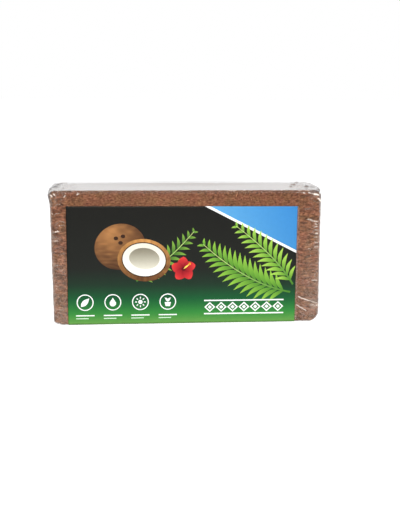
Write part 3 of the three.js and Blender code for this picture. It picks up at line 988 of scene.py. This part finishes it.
def film_relief(points, normals):
    """How far the film stands off its plain shape and is stretched outwards at its ends, how crinkled it is, how
    milky (partly its own milk, partly painted highlights and sheen), and how grey with painted shade and dark
    reflections."""
    half_x, half_z = SLAB[0] / 2 + FILM_OUTSIDE, HEIGHT / 2 + FILM_OUTSIDE
    x, y, z = points.T
    from_top = half_z - np.abs(z)
    from_end = half_x - np.abs(x)
    on_end = smoothstep(np.abs(normals[:, 0]), 0.5, 0.9)
    on_top = smoothstep(normals[:, 2], 0.7, 0.95)
    on_front = smoothstep(-normals[:, 1], 0.5, 0.9)
    clear_of_base = 1 - smoothstep(-normals[:, 2], 0.35, 0.8)
    bare = bare_share(points, normals)

    crimp = 1 + 0.12 * np.sin(z * 2 * math.pi / 1.7) + 0.25 * field(points, (9, 9, 5), 5)
    seal = SEAL_HEIGHT * np.exp(-((y / SEAL_WIDTH) ** 2)) * smoothstep(from_top, 2, 9) * on_end * crimp

    ear_share = np.exp(-(((y - EAR_CENTRE) / EAR_HALF_WIDTH) ** 4)) * np.exp(-((from_top / EAR_TALL) ** 2))
    ear_share *= 1 - smoothstep(from_end, 0, EAR_INWARD)
    rumple = 0.25 * field(points, (6, 5, 5), 53) + 0.12 * field(points, 2.3, 59)
    stretch = np.where(z > 0, EAR_TOP, EAR_BASE) * ear_share * (1 + rumple) * np.where(x < 0, 0.65, 1)
    stretch += NUB_HEIGHT * nub_share(points)
    full = np.exp(-(((z + CENTRE_HEIGHT - FULL_HEIGHT) / FULL_REACH) ** 2)) * (x > 0)
    stretch += FULL_RIGHT * full * (1 - smoothstep(from_end, 0, EAR_INWARD))

    warp = 1.2 * field(points, (30, 18, 12), 3)
    slope = PLEAT_SLOPE * np.where(x > 0, half_x - x, 0)
    streak = field(np.column_stack([x, y, z + warp - slope]), (13, 20, 2.5), 9)
    reach = np.maximum(14 + 9 * field(points, (40, 40, 9), 21), 4)
    near_end = 1 - smoothstep(from_end, 2.0, reach)
    crest = ridges(1.5 * streak, 2.2)
    pleats = 0.22 * crest * near_end * smoothstep(from_top, 0.5, 6)

    from_corner = np.hypot(from_end, from_top)
    corner_share = (1 - smoothstep(from_corner, 3, 17)) * np.where(z > 0, 1.0, 0.35)
    crumple = 0.7 * ridges(1.5 * field(points, 3.6, 31), 1.6) + 0.3 * ridges(1.6 * field(points, 1.7, 37), 1.5)
    crumples = 0.8 * crumple * corner_share * (1 + 0.6 * np.clip(ear_share, 0, 1)) * (1 - 0.6 * on_top)
    crumples *= 1 - np.where(x > 0, 0.85, 0.6) * (1 - smoothstep(y, -26, -18))

    top_end = 1 - smoothstep(from_end, 9, 26)
    top_folds = 0.5 * ridges(1.7 * field(points, (4, 9, 4), 47), 3.0) * on_top * top_end
    top_folds *= smoothstep(y, -28, -20)
    lump = np.zeros(len(points))
    upper = smoothstep(normals[:, 2], 0.3, 0.6)
    for lump_x, lump_y, size in TOP_LUMPS:
        away = ((x - lump_x) / LUMP_ACROSS) ** 2 + ((y - lump_y) / LUMP_DEEP) ** 2
        lump = np.maximum(lump, size * np.exp(-away / size) * upper)
    top_folds = np.maximum(top_folds, LUMP_HEIGHT * lump)
    bow = TOP_BOW * np.exp(-(((x - BOW_PLACE) / BOW_REACH) ** 2)) * smoothstep(y, -5, 28) * on_top

    follow = -bare * broad_relief(points) * 0.8
    taut = 0.03 * field(points, 34, 91)
    folds, painted_fold_glint, by_fold = fold_lift(points, normals)
    loose = np.maximum.reduce([pleats, crumples, top_folds]) * (1 - 0.9 * by_fold) + folds

    on_back = smoothstep(normals[:, 1], 0.9, 1)
    lap_edge = np.abs(z + 0.5 * field(points, (25, 25, 25), 17)) - LAP_HALF_WIDTH
    lap = LAP_HEIGHT * (1 - smoothstep(lap_edge, 0, 0.6)) * on_back
    lift = clear_of_base * (seal + loose + follow + taut + bow) + lap

    ends = 1 - smoothstep(from_end, 6, 30)
    crinkle = bare * (0.12 + 0.88 * ends) * (1 - 0.8 * on_top * (1 - top_end)) + 0.5 * on_end
    crinkle += PUCKER * np.exp(-(((from_top - PUCKER_DOWN) / 1.2) ** 2)) * (normals[:, 1] < -0.9) * (z > 0)
    crinkle *= 1 - 0.8 * np.clip(folds / 0.3, 0, 1)
    low = 1 - smoothstep(z, -0.45 * HEIGHT, 0.15 * HEIGHT)
    # Painted reflection: greyish milk along the film's rim where the front turns to the ends, greyer near the top and
    # in dots.
    at_rim = (1 - smoothstep(from_end, 0.4, 2.2)) * (1 - on_end)
    by_top = (1 - smoothstep(from_top, 5, 12)) * (z > 0)
    painted_rim_reflection = at_rim * (RIM_PAINTED_REFLECTION + 0.3 * by_top)
    # Painted shade on the ears and the top left corner: dark grey crease lines and a grey patch, laid in the milk
    # with the ears' own milky folds; the patch also crinkles the film.
    painted_crease_lines = ear_share * ridges(1.5 * field(points, (2.2, 4.5, 2.2), 83), 1.8)
    shaded_crinkled_corner = 0.45 * (1 - smoothstep(from_end, 5, 12)) * upper * (x < 0)
    crinkle += shaded_crinkled_corner * (1.3 * (1 - ear_share) + 3.5 * ear_share * smoothstep(y, -16, -6))
    ear_milk_and_shade = (0.55 * ear_share * (0.4 + crumple) + 0.5 * painted_crease_lines + shaded_crinkled_corner) * (1 - smoothstep(-normals[:, 1], 0.5, 0.9))
    # Painted sheen: pale milk along the film's streaks near the ends, more of it lower down, and on the crumpled top
    # corners; partly the film's own milkiness.
    streaks = ridges(2.2 * field(np.column_stack([x, y, z + warp - slope]), (8, 16, 1.4), 61), 2.0)
    streaks *= near_end * (0.6 + field(points, (6, 6, 6), 71))
    downwards = 1 - np.where(x < 0, 0.95, 0.8) * smoothstep(z, 12, 40)
    painted_sheen = bare * ends * downwards * (0.03 + 0.06 * low + STREAK_PAINTED_SHEEN * streaks)
    painted_sheen += 0.30 * crumple ** 2.5 * corner_share * (z > 0)
    # Painted highlight: a pale line next to the paper's right edge.
    from_paper = leaned(points)[:, 0] - PAPER_HIGH.x - PAPER_GAP
    paper_edge_highlight = (1 - smoothstep(np.abs(from_paper), 0, PAPER_GAP)) * (z + CENTRE_HEIGHT < PAPER_HIGH.z)
    # Painted shade: a greyish milk band just under the front's top edge, darker at the right end.
    top_edge = (1 - smoothstep(from_top, 1.4, 3.2)) * (z > 0) * on_front
    painted_edge_shade = smoothstep(x, 91, 94)
    painted_sheen += 0.14 * paper_edge_highlight * on_front + (EDGE_PAINTED_SHADE + 0.20 * painted_edge_shade) * top_edge
    # Milk: the ears' own with painted shade, the rim's painted reflection, painted dark reflection on the top lumps,
    # the seal's own milk, the painted sheen, then the painted fold highlights.
    milk_and_painted_light = np.clip(ear_milk_and_shade + painted_rim_reflection + 0.5 * lump + 0.25 * seal / SEAL_HEIGHT + painted_sheen, 0, 0.45)
    milk_and_painted_light = np.clip(milk_and_painted_light + painted_fold_glint, 0, 0.6)
    dotted = ridges(2 * field(points, (9, 9, 3), 87), 1.5)
    # Painted shade and dark reflections in grey: on the top lumps, along the rim near the top and in dots, on the
    # ears' crease lines, on the top left corner and in a band under the front's top edge.
    grey = lump + at_rim * np.maximum(0.9 * by_top, 0.7 * dotted) + 1.5 * painted_crease_lines + 0.6 * shaded_crinkled_corner
    grey += (0.55 + 0.25 * painted_edge_shade) * top_edge
    grey = np.clip(grey, 0, 1) * np.clip(1 - painted_fold_glint / 0.3, 0, 1)
    return lift, stretch, crinkle, milk_and_painted_light * clear_of_base, grey


def bare_share(points, normals):
    """1 where the film lies on coir, 0 where it lies on paper, with a narrow step between."""
    x, _, z = leaned(points).T
    z = z + CENTRE_HEIGHT
    across = smoothstep(x, PAPER_LOW.x - 0.9, PAPER_LOW.x) * (1 - smoothstep(x, PAPER_HIGH.x, PAPER_HIGH.x + 0.9))
    front = smoothstep(-normals[:, 1], 0.3, 0.6) * (1 - smoothstep(z, PAPER_HIGH.z, PAPER_HIGH.z + 0.9))
    back = smoothstep(normals[:, 1], 0.3, 0.6) * (1 - smoothstep(z, PAPER_BACK_TOP, PAPER_BACK_TOP + 0.9))
    base = smoothstep(-normals[:, 2], 0.3, 0.6)
    return 1 - across * np.maximum.reduce([front, back, base])


def squared(points):
    """The points with the film's top corners pulled squarer behind the front."""
    half = SLAB / 2 + FILM_OUTSIDE
    round_size = TOP_RIGHT + FILM_OUTSIDE
    x, y, z = points.T
    behind = np.where(x < 0, EAR_SQUARE_LEFT, EAR_SQUARE_RIGHT) * smoothstep(y, -29, -14)
    near_x = np.clip((np.abs(x) - half[0] + round_size) / round_size, 0, 1)
    near_z = np.clip((z - half[2] + round_size) / round_size, 0, 1)
    both = behind * np.sqrt(near_x * near_z)
    moved_x = np.sign(x) * (half[0] - np.abs(x)) * both
    return points + np.stack([moved_x, np.zeros(len(points)), (half[2] - z) * both], axis=1)


def make_film():
    lines = [end_lines(SLAB[0], FILM_OUTSIDE, 23.0, 0.5, 9.0),
             end_lines(DEPTH, FILM_OUTSIDE, 1.2, 0.3, 1.5),
             even_lines(HEIGHT, FILM_OUTSIDE, 0.38)]
    lattice, faces = box_lattice(lines)
    points, normals = on_slab(lattice, FILM_OUTSIDE, FILM_RIM)
    lift, stretch, crinkle, milk_and_painted_light, grey = film_relief(points, normals)
    points = squared(points) + normals * lift[:, None]
    points[:, 0] += np.sign(points[:, 0]) * stretch
    centres = points[faces].mean(axis=1)
    at_back = normals[faces].mean(axis=1)[:, 1] > 0.9
    vent = np.zeros(len(faces), bool)
    for side in (-1, 1):
        away = np.hypot(centres[:, 0] - side * VENT_ACROSS, centres[:, 2] + CENTRE_HEIGHT - VENT_HEIGHT)
        vent |= at_back & (away < VENT_RADIUS)
    piece = new_piece("film_wrap", leaned(points), faces[~vent], [film_material()])
    for name, values in (("crinkle", crinkle), ("milk_and_painted_light", milk_and_painted_light), ("grey", grey)):
        layer = piece.data.attributes.new(name, "FLOAT", "POINT")
        layer.data.foreach_set("value", values)
    return piece


# The stage: a pale floor that is white to the camera, a pale world and soft boxes.
FLOOR_GLOW, FLOOR_GREY = 0.9, 0.35
FRONT_LIGHT, BACK_LIGHT, OVERHEAD_LIGHT = 0.15, 0.88, 0.0
HORIZON_SHARE, SIDE_SHARE = 0.6, 0.35


def make_floor():
    n = Nodes("floor_white")
    tint = n.noise(n.place((60, 60, 60)), 1.0, 2)
    grey = n.math("MULTIPLY_ADD", tint, 0.02, FLOOR_GREY)
    colour = n.add("ShaderNodeCombineColor", {0: grey, 1: grey, 2: grey}).outputs[0]
    matt = n.add("ShaderNodeBsdfDiffuse", {"Color": colour}).outputs[0]
    glow = n.add("ShaderNodeEmission", {"Color": (1, 1, 1, 1), "Strength": FLOOR_GLOW}).outputs[0]
    material = n.finish(n.add("ShaderNodeAddShader", {0: matt, 1: glow}).outputs[0])
    mesh = bpy.data.meshes.new("floor")
    reach = 30.0
    mesh.from_pydata([(-reach, -reach, 0), (reach, -reach, 0), (reach, reach, 0), (-reach, reach, 0)],
                     [], [(0, 1, 2, 3)])
    mesh.materials.append(material)
    floor = bpy.data.objects.new("floor", mesh)
    bpy.context.collection.objects.link(floor)
    floor.visible_glossy = False


def softbox(name, place, aim, size, radiance, matt=True, gloss=True):
    """A rectangular light, in metres, whose face has the given brightness. It can be left out of what
    matt or glossy surfaces show. Its data comes back."""
    data = bpy.data.lights.new(name, "AREA")
    data.shape = "RECTANGLE"
    data.size, data.size_y = size
    data.energy = radiance * math.pi * size[0] * size[1]
    light = bpy.data.objects.new(name, data)
    bpy.context.collection.objects.link(light)
    light.location = place
    light.rotation_euler = (Vector(aim) - Vector(place)).to_track_quat("-Z", "Y").to_euler()
    light.visible_diffuse = matt
    light.visible_glossy = gloss
    return data


def make_world():
    """White to the camera. To everything else: dim in front, bright behind and above, less so low down
    and to the sides."""
    world = bpy.data.worlds.new("studio")
    bpy.context.scene.world = world
    world.use_nodes = True
    tree = world.node_tree
    tree.nodes.clear()

    def link(value, made, key):
        if isinstance(value, bpy.types.NodeSocket):
            tree.links.new(value, made.inputs[key])
        else:
            made.inputs[key].default_value = value

    def ramp(value, low, high, at_low, at_high):
        made = tree.nodes.new("ShaderNodeMapRange")
        made.interpolation_type = "SMOOTHSTEP"
        for key, number in enumerate((value, low, high, at_low, at_high)):
            link(number, made, key)
        return made.outputs[0]

    def calculate(operation, a, b=0.0):
        made = tree.nodes.new("ShaderNodeMath")
        made.operation = operation
        link(a, made, 0)
        link(b, made, 1)
        return made.outputs[0]

    where = tree.nodes.new("ShaderNodeTexCoord").outputs["Generated"]
    parts = tree.nodes.new("ShaderNodeSeparateXYZ")
    tree.links.new(where, parts.inputs[0])
    x, y, z = parts.outputs
    light = ramp(y, -0.35, 0.35, FRONT_LIGHT, BACK_LIGHT)
    light = calculate("MULTIPLY", light, ramp(z, 0.0, 0.10, HORIZON_SHARE, 1.0))
    light = calculate("MULTIPLY", light, ramp(calculate("ABSOLUTE", x), 0.45, 0.95, 1.0, SIDE_SHARE))
    light = calculate("ADD", light, ramp(z, 0.35, 0.85, 0.0, OVERHEAD_LIGHT))
    seen = tree.nodes.new("ShaderNodeLightPath").outputs["Is Camera Ray"]
    pick = tree.nodes.new("ShaderNodeMix")
    for key, value in ((0, seen), (2, light), (3, 1.0)):
        link(value, pick, key)
    back = tree.nodes.new("ShaderNodeBackground")
    back.inputs["Color"].default_value = (1, 1, 1, 1)
    tree.links.new(pick.outputs[0], back.inputs["Strength"])
    out = tree.nodes.new("ShaderNodeOutputWorld")
    tree.links.new(back.outputs[0], out.inputs[0])


make_camera()
rng = np.random.default_rng(SEED)
block = make_block()
fibres = make_fibres(rng)
crumbs = make_crumbs(rng)
paper = make_paper()
film = make_film()
for piece, node_name, slot in [(block, "coir_brick", "coir"), (fibres, None, "coir"), (crumbs, None, "coir"),
                               (paper, "paper_wrap", "paper"), (film, "shrink_film", "film")]:
    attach(piece, "root")
    if node_name:
        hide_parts(node_name)

make_floor()
make_world()
softbox("front_box", (0.10, -1.1, 0.80), (0, 0, 0.05), (1.30, 0.32), 12, gloss=False)
glint = softbox("glint_box", (-0.02, -1.0, 0.90), (-0.02, 0, 0.05), (1.25, 0.60), 9, matt=False)
glint.color = (1.0, 0.91, 0.82)
softbox("left_box", (-1.1, -0.75, 0.6), (0, 0, 0.05), (0.12, 0.45), 20)
softbox("right_box", (1.15, -0.6, 0.5), (0, 0, 0.05), (0.12, 0.45), 25)
bpy.context.scene.view_settings.view_transform = "Standard"
